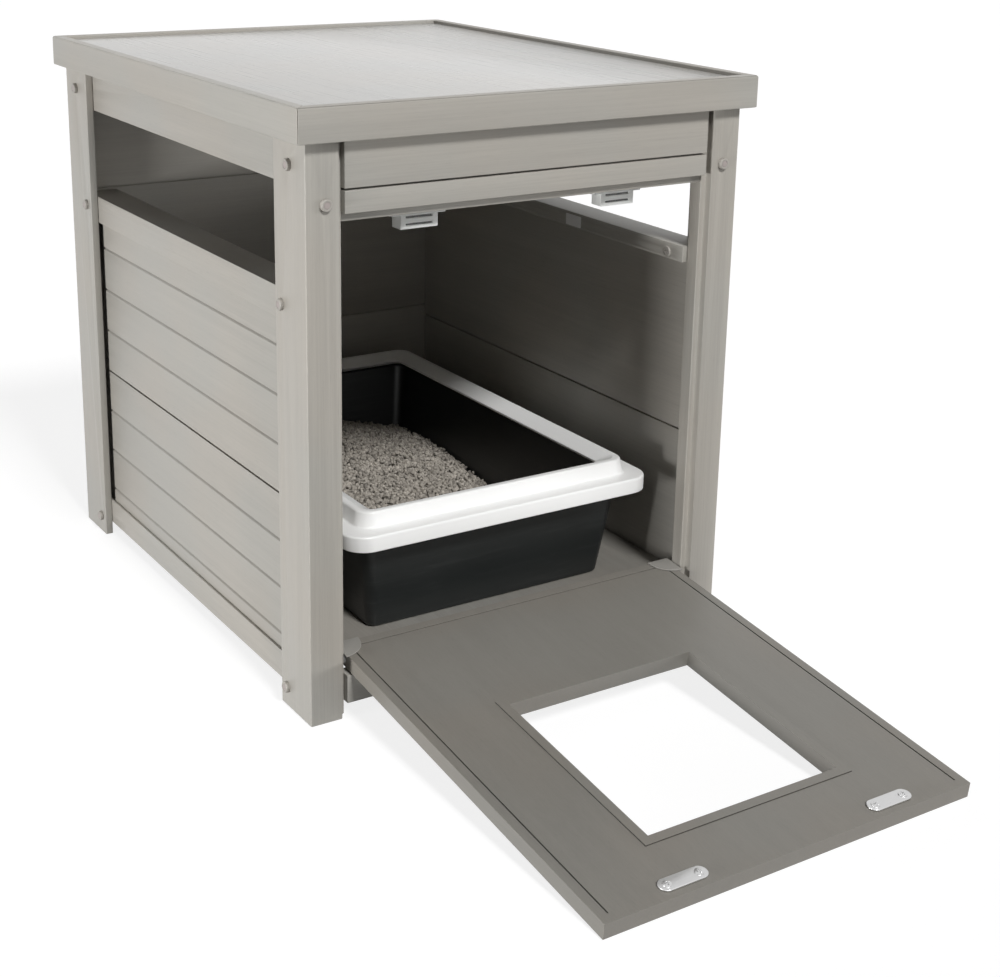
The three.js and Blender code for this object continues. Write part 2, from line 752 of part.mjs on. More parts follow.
function addDoorPanel() {
  const panel = block(-doorHalf, doorHalf, doorOuter, doorInner, doorBottom, doorReach);
  const lipOuter = doorInner - doorLipThickness;
  const lip = block(-doorHalf, doorHalf, lipOuter, doorInner, doorLipBottom, doorBottom + cutMargin);
  const wall = holeFrameWall + fit;
  const hole = rectangle(
    -doorHoleWidth / 2 - wall,
    doorHoleWidth / 2 + wall,
    doorHoleStart - wall,
    doorHoleStart + doorHoleLength + wall,
  );
  const boreRadius = (pinRadius + pinClearance) / Math.cos(Math.PI / 16);
  const bores = sides.map(({ sign }) => {
    const mouth = sign * (doorHalf + cutMargin);
    const bottom = sign * (doorHalf - pinInDoor - fit);
    return barAlongX(boreRadius, mouth, bottom, 0, 0);
  });
  const cuts = [prismAlongY(hole, doorOuter - cutMargin, doorInner + cutMargin), ...doorGrooves(), ...bores];
  add('door_panel', cut(join([panel, lip]), cuts), materials.doorComposite, doorGroup);
}

// The frame that lines the cat's hole, a little proud of the door's inner face.
function addHoleFrame() {
  const x = doorHoleWidth / 2;
  const z0 = doorHoleStart;
  const z1 = doorHoleStart + doorHoleLength;
  const w = holeFrameWall;
  const inner = doorInner + holeFrameProud;
  const ring = prismAlongY(rectangle(-x - w, x + w, z0 - w, z1 + w), doorOuter, inner);
  const opening = prismAlongY(rectangle(-x, x, z0, z1), doorOuter - cutMargin, inner + cutMargin);
  add('door_hole_frame', cut(ring, [opening]), materials.doorComposite, doorGroup);
}

// A quarter-round plate over each hinge corner of the door.
function addCornerCap({ word, sign }) {
  const corner = [sign * (doorHalf + doorSideGap - capGap), doorLipBottom];
  const points = [corner];
  const steps = 8;
  for (let step = 0; step <= steps; step += 1) {
    const angle = (Math.PI / 2) * (step / steps);
    points.push([corner[0] - sign * capRadius * Math.cos(angle), corner[1] + capRadius * Math.sin(angle)]);
  }
  const face = doorInner + fit;
  const cap = prismAlongY(points, face, face + capThickness);
  add(`door_${word}_corner_cap`, cap, materials.hingePlastic, doorGroup);
}

// Hinge pin: held in the door's edge, with a collar in the gap, turning in the post.
function addHingePin({ word, sign }) {
  const collarStart = (doorSideGap - pinCollarLength) / 2;
  const collarEnd = collarStart + pinCollarLength;
  const tip = doorSideGap + pinInPost;
  const profile = [
    [0, -pinInDoor],
    [pinRadius, -pinInDoor],
    [pinRadius, collarStart],
    [pinCollarRadius, collarStart],
    [pinCollarRadius, collarEnd],
    [pinRadius, collarEnd],
    [pinRadius, tip],
    [0, tip],
  ].map(([radius, along]) => new THREE.Vector2(radius, along));
  const pin = new THREE.LatheGeometry(profile, 16);
  pin.rotateZ((-sign * Math.PI) / 2).translate(sign * doorHalf, 0, 0);
  add(`door_${word}_hinge_pin`, pin, materials.satinMetal, doorGroup);
}

// Steel strike plate with round ends, for the magnetic catch.
function addStrike({ word, sign }) {
  const radius = strikeWidth / 2;
  const straight = strikeLength / 2 - radius;
  const steps = 8;
  const points = [];
  for (let step = 0; step <= steps; step += 1) {
    const angle = -Math.PI / 2 + (Math.PI * step) / steps;
    points.push([straight + radius * Math.cos(angle), radius * Math.sin(angle)]);
  }
  const outline = [...points, ...points.map(([x, z]) => [-x, -z])];
  const placed = outline.map(([x, z]) => [x + sign * strikeSpread, z + strikeDistance]);
  const face = doorInner + fit;
  const strike = prismAlongY(placed, face, face + strikeThickness);
  add(`door_${word}_strike`, strike, materials.satinMetal, doorGroup);
}

// ---------------------------------------------------------------- magnetic catches

// A plastic body with two ears, under the lower rail, its pole slots facing the closed door's strike.
function addCatch({ word, sign }) {
  const x = sign * strikeSpread;
  const front = yOf(catchFront);
  const back = yOf(catchBack);
  const top = lowerRailBottom;
  const half = catchWidth / 2;
  const body = block(x - half, x + half, front, back, top - catchHeight, top);
  const span = half + catchEarLength;
  const ears = block(x - span, x + span, front, back, top - catchEarHeight, top);
  const slotMiddle = top - catchHeight / 2 - catchSlotLowering;
  const slots = [-0.5, 0.5].map((place) => {
    const z = slotMiddle + place * catchSlotSpacing;
    const slotHalf = catchSlotLength / 2;
    return block(
      x - slotHalf,
      x + slotHalf,
      front - cutMargin,
      front + catchSlotDepth,
      z - catchSlotHeight / 2,
      z + catchSlotHeight / 2,
    );
  });
  add(`${word}_magnetic_catch`, cut(join([body, ears]), slots), materials.catchPlastic);
}

// ---------------------------------------------------------------- litter pan

const panMiddle = yOf((panFrontDepth + panBackDepth) / 2);
const panBaseHalfDepth = (panBackDepth - panFrontDepth) / 2;

// The outline of the pan's base grown outwards by an outset, at a height.
function panRing(outset, z) {
  const radius = panBaseCorner + panCornerGrowth * outset;
  const outline = roundedRectangle(panBaseHalfWidth + outset, panBaseHalfDepth + outset, radius, panMiddle);
  return outline.map(([x, y]) => [x, y, z]);
}

// Outset of the pan's outer face at a height.
const flareAt = (z) => (panFlare * (z - panBase)) / panHeight;

function addPan() {
  const inside = panBase + panWall;
  const flangeOutset = panFlare + panFlangeWidth;
  add('litter_pan', loft([
    panRing(0, panBase),
    panRing(flareAt(panTop - panFlangeThickness), panTop - panFlangeThickness),
    panRing(flangeOutset, panTop - panFlangeThickness),
    panRing(flangeOutset, panTop),
    panRing(panFlare - panWall, panTop),
    panRing(flareAt(inside) - panWall, inside),
  ]), materials.panPlastic);
}

// The rim's section from the lip's lower edge up over the step and the crest to the mouth, and back
// along the underside, which rests on the pan's flange.
function addRim() {
  const lipBottom = panTop - rimLipDrop;
  const seat = panTop + fit;
  const step = seat + rimWall;
  const crest = panTop + rimCrestRise;
  const mouth = panTop + rimMouthRise;
  const round = rimCrestRounding;
  add('pan_rim', hoop([
    panRing(rimLipInner, lipBottom),
    panRing(rimLipOuter, lipBottom),
    panRing(rimLipOuter, step - round),
    panRing(rimLipOuter - round, step),
    panRing(rimWallFoot, step),
    panRing(rimWallTop, crest - round),
    panRing(rimWallTop - round, crest),
    panRing(rimWallTop - 3 * round, crest),
    panRing(rimWallTop - rimMouthInset, mouth + rimWall),
    panRing(rimWallTop - rimMouthInset, mouth),
    panRing(rimWallTop - 3 * round, crest - rimWall),
    panRing(rimWallTop - rimWall, crest - rimWall),
    panRing(rimWallFoot - rimWall, seat),
    panRing(rimLipInner, seat),
  ]), materials.rimPlastic);
}

// Height of the litter's surface: a low mound over a level bed.
function heapHeight(x, y) {
  const across = (x - heapX) / heapSpreadX;
  const along = (y - yOf(heapDepth)) / heapSpreadDepth;
  return heapLevel + heapRise * Math.exp(-across * across - along * along);
}

function addLitter() {
  const bottom = panBase + panWall + fit;
  const wallOutset = (z) => flareAt(z) - panWall - fit;
  const edge = panRing(wallOutset(heapLevel), heapLevel).map(([x, y], i) => {
    const z = heapHeight(x, y);
    return panRing(wallOutset(z), z)[i];
  });
  const shares = [0.86, 0.72, 0.58, 0.44, 0.3, 0.16];
  const inner = shares.map((share) => edge.map(([x, y]) => {
    const nearX = share * x;
    const nearY = panMiddle + share * (y - panMiddle);
    return [nearX, nearY, heapHeight(nearX, nearY)];
  }));
  add('litter', loft([panRing(wallOutset(bottom), bottom), edge, ...inner]), materials.litter);
}

// ---------------------------------------------------------------- assembly

for (const side of sides) {
  addPosts(side);
  addSide(side);
  addSideBolts(side);
  addFrontBolts(side);
  addCornerCap(side);
  addHingePin(side);
  addStrike(side);
  addCatch(side);
}
addFrontRails();
addBackWall();
addFloor();
addLid();
addDoorPanel();
addHoleFrame();
addPan();
addRim();
addLitter();

export default part;
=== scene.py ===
"""Looks of the cat litter box cabinet.

Metres, +Z up, the door side faces -Y. Shapes are given in millimetres.
"""

import json
import math

import bmesh
import bpy
import numpy as np
from mathutils import Matrix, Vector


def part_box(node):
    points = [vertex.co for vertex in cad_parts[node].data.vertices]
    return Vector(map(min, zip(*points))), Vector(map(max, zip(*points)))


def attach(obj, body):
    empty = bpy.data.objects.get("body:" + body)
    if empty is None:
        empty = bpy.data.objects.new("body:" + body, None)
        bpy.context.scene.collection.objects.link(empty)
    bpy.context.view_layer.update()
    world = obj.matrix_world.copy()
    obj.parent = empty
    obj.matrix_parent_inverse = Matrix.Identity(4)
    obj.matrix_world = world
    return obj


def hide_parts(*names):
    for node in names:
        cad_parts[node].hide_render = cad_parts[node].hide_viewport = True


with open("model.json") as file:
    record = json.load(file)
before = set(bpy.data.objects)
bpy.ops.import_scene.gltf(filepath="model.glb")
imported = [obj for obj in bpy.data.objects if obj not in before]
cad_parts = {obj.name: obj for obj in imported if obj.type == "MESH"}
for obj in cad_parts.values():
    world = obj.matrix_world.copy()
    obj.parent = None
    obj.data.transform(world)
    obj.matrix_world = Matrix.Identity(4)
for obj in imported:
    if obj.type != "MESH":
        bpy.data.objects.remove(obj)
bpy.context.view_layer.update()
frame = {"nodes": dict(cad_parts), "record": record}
record = frame["record"]

MM = 0.001
SLOT_OF = {row["node"]: row["material_slot"] for row in record["subparts"]}
BODY_OF = {node: body for body, nodes in record["behaviour"]["bodies"].items() for node in nodes}
POST_FRONT = -97.8316  # Y of the front posts' outer faces

# ---------------------------------------------------------------- materials


class Amount:
    """A number that varies over a surface; each operator on it adds one Math node."""

    def __init__(self, finish, socket):
        self.finish = finish
        self.socket = socket

    def _math(self, operation, first, second):
        return self.finish.node("Math", {"operation": operation}, {0: first, 1: second})

    def __add__(self, other):
        return self._math("ADD", self, other)

    def __radd__(self, other):
        return self._math("ADD", other, self)

    def __sub__(self, other):
        return self._math("SUBTRACT", self, other)

    def __mul__(self, other):
        return self._math("MULTIPLY", self, other)


class Finish:
    """One material: its Principled shader and the nodes that feed it."""

    def __init__(self, name, **constants):
        self.material = bpy.data.materials.new(name)
        self.material.use_nodes = True
        self.tree = self.material.node_tree
        self.shader = self.tree.nodes["Principled BSDF"]
        for socket, value in constants.items():
            self.feed(self.shader.inputs[socket.replace("_", " ")], value)
        self.place = self.node("TexCoord", output="Object")

    def node(self, kind, settings=None, inputs=None, output=0):
        made = self.tree.nodes.new("ShaderNode" + kind)
        for name, value in (settings or {}).items():
            setattr(made, name, value)
        for key, value in (inputs or {}).items():
            self.feed(made.inputs[key], value)
        return Amount(self, made.outputs[output])

    def feed(self, socket, value):
        if isinstance(value, Amount):
            self.tree.links.new(value.socket, socket)
        elif isinstance(value, tuple) and socket.type == "RGBA":
            socket.default_value = (*value, 1.0)
        else:
            socket.default_value = value

    def noise(self, scale, detail=2.0, rough=0.5, shift=0.0):
        """Noise whose cells per metre along X, Y and Z are the three scales."""
        placing = {"Vector": self.place, "Scale": scale, "Location": (shift, shift, shift)}
        spot = self.node("Mapping", inputs=placing)
        inputs = {"Vector": spot, "Scale": 1.0, "Detail": detail, "Roughness": rough}
        return self.node("TexNoise", inputs=inputs)

    def own(self, name):
        """A number that the piece's own mesh carries."""
        return self.node("Attribute", {"attribute_name": name}, output="Fac")

    def ramp(self, value, low, high):
        """A smooth step from 0 to 1 as the value goes from low to high."""
        inputs = {"Value": value, "From Min": low, "From Max": high}
        return self.node("MapRange", {"interpolation_type": "SMOOTHSTEP"}, inputs)

    def blend(self, share, first, second):
        return self.node("Mix", {"data_type": "RGBA"}, {0: share, 6: first, 7: second}, output=2)

    def lit(self, colour, amount):
        """The colour times the amount."""
        return self.node("VectorMath", {"operation": "SCALE"}, {0: colour, "Scale": amount})

    def set(self, **sockets):
        for name, value in sockets.items():
            self.feed(self.shader.inputs[name.replace("_", " ")], value)
        return self

    def relief(self, height, strength, depth):
        bump = self.node("Bump", inputs={"Height": height, "Strength": strength, "Distance": depth})
        return self.set(Normal=bump)


def along(axis, across, lengthwise):
    """Noise scales that stretch a pattern along one axis."""
    return tuple(lengthwise if name == axis else across for name in "xyz")


def composite(name, axis, colour, streak=0.09, roughness=0.43, coat=0.0, shift=0.0):
    """Wood-fibre composite drawn lengthwise: broad soft streaks, fine dark fibres and a slow drift of hue."""
    f = Finish(name, IOR=1.5, Coat_Weight=coat, Coat_Roughness=0.2)
    broad = f.noise(along(axis, 85.0, 1.6), detail=3.0, shift=shift)
    fine = f.noise(along(axis, 620.0, 9.0), detail=3.0, rough=0.6, shift=shift)
    fibre = f.noise(along(axis, 1500.0, 60.0), detail=1.0, shift=shift)
    drift = f.noise((7.0, 7.0, 7.0), detail=1.0, shift=shift)
    warm = tuple(c * k for c, k in zip(colour, (1.012, 1.0, 0.985)))
    cool = tuple(c * k for c, k in zip(colour, (0.985, 1.0, 1.005)))
    # The piece's own tone: a random shift in level, less painted shade in groove bottoms, in seams and on the
    # floor panel.
    level = 1.0 + (broad - 0.5) * (2.0 * streak) + (fine - 0.5) * (2.6 * streak) + f.own("tone")
    dark = f.ramp(fibre, 0.62, 0.74) * 0.07
    f.set(Base_Color=f.lit(f.blend(f.ramp(drift, 0.35, 0.65), warm, cool), level - dark))
    f.set(Roughness=roughness + (fine - 0.5) * 0.22 + (broad - 0.5) * 0.10)
    f.relief(fine * 0.7 + fibre * 0.3, 0.22, 0.0004)
    return f.material


def plastic(name, colour, roughness, inlay=None, patch=0.03, relief=0.06):
    """Moulded plastic with a fine grain, and faint patches where it has been handled; the inlay is the
    colour of the parts whose own tone is 1."""
    f = Finish(name)
    spots = f.noise((30.0, 30.0, 30.0), detail=4.0)
    skin = f.noise((900.0, 900.0, 900.0), detail=2.0)
    plain = f.blend(f.own("tone"), colour, inlay) if inlay else colour
    f.set(Base_Color=f.lit(plain, 1.0 + (spots - 0.5) * (2 * patch) + (skin - 0.5) * patch))
    f.set(Roughness=roughness + (spots - 0.5) * (4 * patch))
    f.relief(skin, relief, 0.0003)
    return f.material


def scuffed_black(name, colour):
    """Black moulded plastic, with faint level scuffs and a dusting of pale litter."""
    f = Finish(name, IOR=1.48)
    sweep = f.noise((9.0, 9.0, 160.0), detail=4.0, rough=0.65)
    scratch = f.noise((25.0, 25.0, 900.0), detail=3.0, rough=0.7)
    cloud = f.noise((11.0, 11.0, 14.0), detail=3.0)
    skin = f.noise((1100.0, 1100.0, 1100.0), detail=1.0)
    worn = f.ramp(scratch, 0.57, 0.72) * f.ramp(cloud, 0.42, 0.66)
    dust = f.ramp(sweep, 0.5, 0.78) * 0.5
    grey = tuple(0.05 + c for c in colour)
    f.set(Base_Color=f.blend(worn * 0.5 + dust * 0.35, colour, grey))
    f.set(Roughness=0.40 + worn * 0.22 + (cloud - 0.5) * 0.2)
    f.relief(skin * 0.5 + scratch * 0.5, 0.10, 0.0003)
    return f.material


def brushed(name, colour, roughness):
    """Satin metal with fine brush lines along X."""
    f = Finish(name, Metallic=1.0)
    lines = f.noise(along("x", 2600.0, 60.0), detail=3.0, rough=0.7)
    cloud = f.noise((90.0, 90.0, 90.0), detail=2.0)
    f.set(Base_Color=f.lit(colour, 0.92 + lines * 0.16))
    f.set(Roughness=roughness + (lines - 0.5) * 0.25 + (cloud - 0.5) * 0.12)
    f.relief(lines, 0.12, 0.0002)
    return f.material


def granules(name, colour):
    """Clay granules: each has its own tone, with a chalky mottled skin."""
    f = Finish(name, IOR=1.4)
    skin = f.noise((900.0, 900.0, 900.0), detail=4.0, rough=0.7)
    pale = tuple(c * 1.45 + 0.02 for c in colour)
    deep = tuple(c * 0.55 for c in colour)
    f.set(Base_Color=f.lit(f.blend(f.own("tone"), deep, pale), 0.8 + skin * 0.4))
    f.set(Roughness=0.86 + (skin - 0.5) * 0.2)
    f.relief(skin, 0.4, 0.0004)
    return f.material


COMPOSITE = (0.370, 0.352, 0.320)
# The top panel's paler colour is partly its own and partly painted sheen, standing in for the bright grazing
# reflection on the lid.
TOP = (0.47, 0.46, 0.44)
DOOR = (0.225, 0.212, 0.190)
CAP = (0.36, 0.34, 0.31)
CAP_INLAY = (0.36, 0.315, 0.30)

finishes = {
    ("composite", "x"): composite("composite_across", "x", COMPOSITE, shift=3.1),
    ("composite", "y"): composite("composite_front_to_back", "y", COMPOSITE, shift=11.7),
    ("composite", "z"): composite("composite_upright", "z", COMPOSITE, shift=23.9),
    ("top_composite", "y"): composite(
        "composite_top", "y", TOP, streak=0.11, roughness=0.3, coat=0.45, shift=31.3
    ),
    ("door_composite", "y"): composite("composite_door", "y", DOOR, streak=0.07, roughness=0.42, shift=41.9),
    ("bolt_cap", ""): plastic("bolt_cap_plastic", CAP, 0.46, inlay=CAP_INLAY),
    ("satin_metal", ""): brushed("satin_zinc", (0.62, 0.62, 0.62), 0.34),
    ("hinge_plastic", ""): plastic("grey_hinge_plastic", (0.27, 0.26, 0.24), 0.42),
    ("catch_plastic", ""): plastic("white_catch_plastic", (0.85, 0.86, 0.84), 0.4),
    ("pan_plastic", ""): scuffed_black("black_pan_plastic", (0.012, 0.014, 0.014)),
    ("rim_plastic", ""): plastic("white_rim_plastic", (0.90, 0.90, 0.89), 0.3, patch=0.004, relief=0.02),
    ("litter", ""): granules("clay_granules", (0.36, 0.33, 0.29)),
}
pole_steel = brushed("dark_pole_steel", (0.10, 0.10, 0.10), 0.5)
bare_label = plastic("bare_label", (0.80, 0.80, 0.79), 0.5)


def grain_axis(node):
    """The axis along which a composite piece was drawn."""
    if node.endswith("_post"):
        return "z"
    if node.startswith(("front_", "back_")) or node in ("lid_front_trim", "lid_back_trim"):
        return "x"
    return "y"


def finish_of(node):
    slot = SLOT_OF[node]
    return finishes[(slot, grain_axis(node) if slot.endswith("composite") else "")]


# ---------------------------------------------------------------- mesh making


def grid_quads(rows, columns):
    """Quads between neighbouring rows of a grid stored row by row, its columns closed into a ring."""
    row = np.arange(rows - 1)[:, None] * columns
    column = np.arange(columns)[None, :]
    after = (column + 1) % columns
    corners = (row + column, row + after, row + columns + after, row + columns + column)
    return np.stack(corners, axis=-1).reshape(-1, 4)


def piece(name, body, material, vertices, faces, stands_for=(), tone=None, smooth=True, tidy=True):
    """A mesh in metres that rides on a body; the tone is one number or one for each vertex."""
    mesh = bpy.data.meshes.new(name)
    mesh.from_pydata(np.asarray(vertices) * MM, [], [list(map(int, face)) for face in faces])
    if tone is not None:
        values = np.broadcast_to(np.asarray(tone, np.float32), len(mesh.vertices))
        mesh.attributes.new("tone", "FLOAT", "POINT").data.foreach_set("value", np.ascontiguousarray(values))
    if tidy:
        shape = bmesh.new()
        shape.from_mesh(mesh)
        bmesh.ops.remove_doubles(shape, verts=shape.verts, dist=1e-7)
        bmesh.ops.recalc_face_normals(shape, faces=shape.faces)
        shape.to_mesh(mesh)
        shape.free()
    mesh.polygons.foreach_set("use_smooth", np.full(len(mesh.polygons), smooth))
    if smooth:
        mesh.set_sharp_from_angle(angle=math.radians(38))
    mesh.materials.append(material)
    made = bpy.data.objects.new(name, mesh)
    bpy.context.scene.collection.objects.link(made)
    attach(made, body)
    if stands_for:
        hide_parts(*stands_for)
    return made


def rounded(corners, radius, steps=5):
    """A closed outline whose corners are arcs: each arc touches both sides that meet there, and its
    centre lies on the line that halves their angle."""
    corner = np.asarray(corners, float)
    radii = np.broadcast_to(np.asarray(radius, float), len(corner))[:, None]
    back = np.roll(corner, 1, axis=0) - corner
    ahead = np.roll(corner, -1, axis=0) - corner
    back /= np.linalg.norm(back, axis=1, keepdims=True)
    ahead /= np.linalg.norm(ahead, axis=1, keepdims=True)
    half = np.arccos(np.clip(np.sum(back * ahead, axis=1), -1, 1))[:, None] / 2
    middle = back + ahead
    middle /= np.linalg.norm(middle, axis=1, keepdims=True)
    centre = corner + middle * radii / np.sin(half)
    start = corner + back * radii / np.tan(half) - centre
    end = corner + ahead * radii / np.tan(half) - centre
    turn = (math.pi - 2 * half)[:, :, None]
    share = np.linspace(0, 1, steps + 1)[None, :, None]
    arc = (np.sin((1 - share) * turn) * start[:, None] + np.sin(share * turn) * end[:, None]) / np.sin(turn)
    return (centre[:, None] + arc).reshape(-1, 2)


def rectangle(width, height):
    x, y = width / 2, height / 2
    return [(-x, -y), (x, -y), (x, y), (-x, y)]


def plate(outline, thickness, ease, steps=4):
    """A plate of a counter-clockwise outline: near both faces it is drawn in along its own normals by a
    quarter circle. X and Y follow the outline, Z its thickness."""
    outline = np.asarray(outline, float)
    tangent = np.roll(outline, -1, axis=0) - np.roll(outline, 1, axis=0)
    outward = np.stack([tangent[:, 1], -tangent[:, 0]], axis=1)
    outward /= np.linalg.norm(outward, axis=1, keepdims=True)
    angle = np.linspace(0, math.pi / 2, steps + 1)
    inset = ease * (1 - np.sin(angle))
    rise = ease * (1 - np.cos(angle))
    insets = np.concatenate([inset, inset[::-1]])
    heights = np.concatenate([rise, thickness - rise[::-1]])
    rings = outline[None] - outward[None] * insets[:, None, None]
    levels = np.broadcast_to(heights[:, None, None], (*rings.shape[:2], 1))
    vertices = np.concatenate([rings, levels], axis=2).reshape(-1, 3)
    count = len(outline)
    faces = [*grid_quads(len(heights), count), range(count), range(len(vertices) - count, len(vertices))]
    return vertices, faces


def turned(profile, spokes, relief=None):
    """A profile of (radius, height) turned round Z; the relief is a depth at (x, y) taken off what
    lies above the seat at height 0."""
    profile = np.asarray(profile, float)
    turn = np.linspace(0, 2 * math.pi, spokes, endpoint=False)
    x = profile[:, :1] * np.cos(turn)
    y = profile[:, :1] * np.sin(turn)
    z = np.repeat(profile[:, 1:], spokes, axis=1)
    if relief:
        z = z - np.where(z > 0, relief(x, y), 0.0)
    return np.stack([x, y, z], axis=-1).reshape(-1, 3), grid_quads(len(profile), spokes)


def placed(vertices, across, up, out, at):
    """Local X, Y and Z laid along three directions from a point."""
    return np.asarray(vertices) @ np.array([across, up, out], float) + np.asarray(at, float)


# The door lies open: its own upright height runs forward and down from the pins' axis.
PIN_HEIGHT = 51.5
PIN_DEPTH = 16.0
DOOR_REACH = 404.0
DOOR_HALF_THICKNESS = 7.0
FLOOR_GAP = 0.3
DOOR_ANGLE = (
    math.pi / 2
    + math.asin((PIN_HEIGHT - FLOOR_GAP) / math.hypot(DOOR_REACH, DOOR_HALF_THICKNESS))
    - math.atan(DOOR_HALF_THICKNESS / DOOR_REACH)
)
DOOR_UP = (0.0, -math.sin(DOOR_ANGLE), math.cos(DOOR_ANGLE))
DOOR_IN = (0.0, math.cos(DOOR_ANGLE), math.sin(DOOR_ANGLE))
PIN_AXIS = (0.0, POST_FRONT + PIN_DEPTH, PIN_HEIGHT)


def on_door(x, up, inward):
    """A point given by its distance across, up the door and into the cabinet from the pins' axis."""
    return np.array(PIN_AXIS) + np.array([x, 0, 0]) + up * np.array(DOOR_UP) + inward * np.array(DOOR_IN)


# ---------------------------------------------------------------- boards, posts, rails, lid and door


SIDE_GROOVE_X = 217.7  # half the distance between the bottoms of the side boards' grooves
BACK_GROOVE_DEPTH = 559.0
DOOR_GROOVE_INWARD = 5.8
HOLE_FRAME_HALF = 108.0  # outer walls of the frame round the door's opening, a little inside
HOLE_FRAME_BOTTOM = 130.5
HOLE_FRAME_TOP = 345.5
NEAR = 0.1
# Painted shade: how much darker the bottoms of the grooves and the door's seams are drawn, for the shadow
# that lies in them.
PAINTED_GROOVE_SHADE = 0.25
PAINTED_DOOR_SEAM_SHADE = 0.6


def painted_seam_shade(node, points, normals):
    """How much painted shade darkens each face corner: in the bottom of a groove, and in the door's grooves
    and on the outer walls of its opening's frame, where the seams lie in shadow; the points are in
    millimetres and each has its face's normal."""
    x, y, z = points.T
    if node.endswith("_board"):
        on_side = node.startswith(("left", "right"))
        inward = SIDE_GROOVE_X - np.abs(x) if on_side else POST_FRONT + BACK_GROOVE_DEPTH - y
        return np.where(np.abs(inward) < NEAR, PAINTED_GROOVE_SHADE, 0.0)
    if not node.startswith("door_"):
        return np.zeros(len(points))
    from_pin = points - PIN_AXIS
    inward, up = from_pin @ DOOR_IN, from_pin @ DOOR_UP
    if node == "door_panel":
        return np.where(np.abs(inward - DOOR_GROOVE_INWARD) < NEAR, PAINTED_DOOR_SEAM_SHADE, 0.0)
    outer_wall = (np.abs(x) > HOLE_FRAME_HALF) | (up < HOLE_FRAME_BOTTOM) | (up > HOLE_FRAME_TOP)
    return np.where(outer_wall & (np.abs(normals @ DOOR_IN) < 0.5), PAINTED_DOOR_SEAM_SHADE, 0.0)


def eased(node, width, tone):
    """A copy of a CAD piece, its doubles merged and flat faces joined, with rounded edges."""
    shape = bmesh.new()
    shape.from_mesh(frame["nodes"][node].data)
    bmesh.ops.remove_doubles(shape, verts=shape.verts, dist=1e-6)
    bmesh.ops.dissolve_limit(shape, angle_limit=math.radians(0.8), verts=shape.verts, edges=shape.edges)
    mesh = bpy.data.meshes.new("eased_" + node)
    shape.to_mesh(mesh)
    shape.free()
    points = np.empty(3 * len(mesh.vertices))
    mesh.vertices.foreach_get("co", points)
    corners = np.empty(len(mesh.loops), np.int32)
    mesh.loops.foreach_get("vertex_index", corners)
    normals = np.empty(3 * len(mesh.polygons))
    mesh.polygons.foreach_get("normal", normals)
    sizes = np.empty(len(mesh.polygons), np.int32)
    mesh.polygons.foreach_get("loop_total", sizes)
    world = np.array(frame["nodes"][node].matrix_world)
    points = points.reshape(-1, 3) @ world[:3, :3].T + world[:3, 3]
    normals = np.repeat(normals.reshape(-1, 3) @ world[:3, :3].T, sizes, axis=0)
    # The tone is the piece's random tone less the painted shade in its grooves and seams.
    values = (tone - painted_seam_shade(node, points[corners] / MM, normals)).astype(np.float32)
    mesh.attributes.new("tone", "FLOAT", "CORNER").data.foreach_set("value", values)
    smooth = not node.startswith("door_")
    mesh.polygons.foreach_set("use_smooth", np.full(len(mesh.polygons), smooth))
    mesh.materials.append(finish_of(node))
    made = bpy.data.objects.new("eased_" + node, mesh)
    bpy.context.scene.collection.objects.link(made)
    bevel = made.modifiers.new("eased edges", "BEVEL")
    bevel.width = width * MM
    bevel.segments = 3
    bevel.limit_method = "ANGLE"
    bevel.angle_limit = math.radians(32)
    bevel.use_clamp_overlap = False
    bevel.harden_normals = smooth
    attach(made, BODY_OF[node])
    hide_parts(node)


def edge_width(node):
    """How wide the rounding of a piece's edges is."""
    if node.endswith("_post") or node.startswith("lid_"):
        return 0.9
    if node.startswith("door_"):
        return 0.2
    if node.endswith("_board"):
        return 0.3
    return 0.6


TONE_SPREAD = 0.025
# Painted shade: the cabinet's floor panel is drawn darker for the shadow that lies on it inside the cabinet.
PAINTED_FLOOR_PANEL_SHADE = 0.35

tones = np.random.default_rng(5)
for node in sorted(SLOT_OF):
    if SLOT_OF[node].endswith("composite") or SLOT_OF[node] == "catch_plastic":
        tone = tones.uniform(-TONE_SPREAD, TONE_SPREAD)
        eased(node, edge_width(node), tone - PAINTED_FLOOR_PANEL_SHADE if node == "floor_panel" else tone)

# ---------------------------------------------------------------- bolts and nuts

HEAD_HEIGHT = 4.0
CAP_HEAD = [
    (0.0, 3.62), (2.4, 3.62), (2.85, 3.58), (3.0, 3.3), (3.14, 3.3), (3.3, 3.68), (3.5, 3.76),
    (4.5, 3.78), (4.85, 3.7), (5.1, 3.5), (5.24, 3.2), (5.28, 2.8), (5.3, 0.15), (5.2, 0.0),
]
PLUG_POINTS = 3  # the first points of the profile belong to the plug
SHANK_RADIUS = 2.5
NUT_HOLLOW_RADIUS = 3.75
NUT_HOLLOW_DEPTH = 1.1
NUT_BAR_HALF = 0.85


def cap(node, vertices, faces, tone=None):
    material = finishes[("bolt_cap", "")]
    piece("cap_" + node, "cabinet", material, vertices, faces, [node], tone=tone)


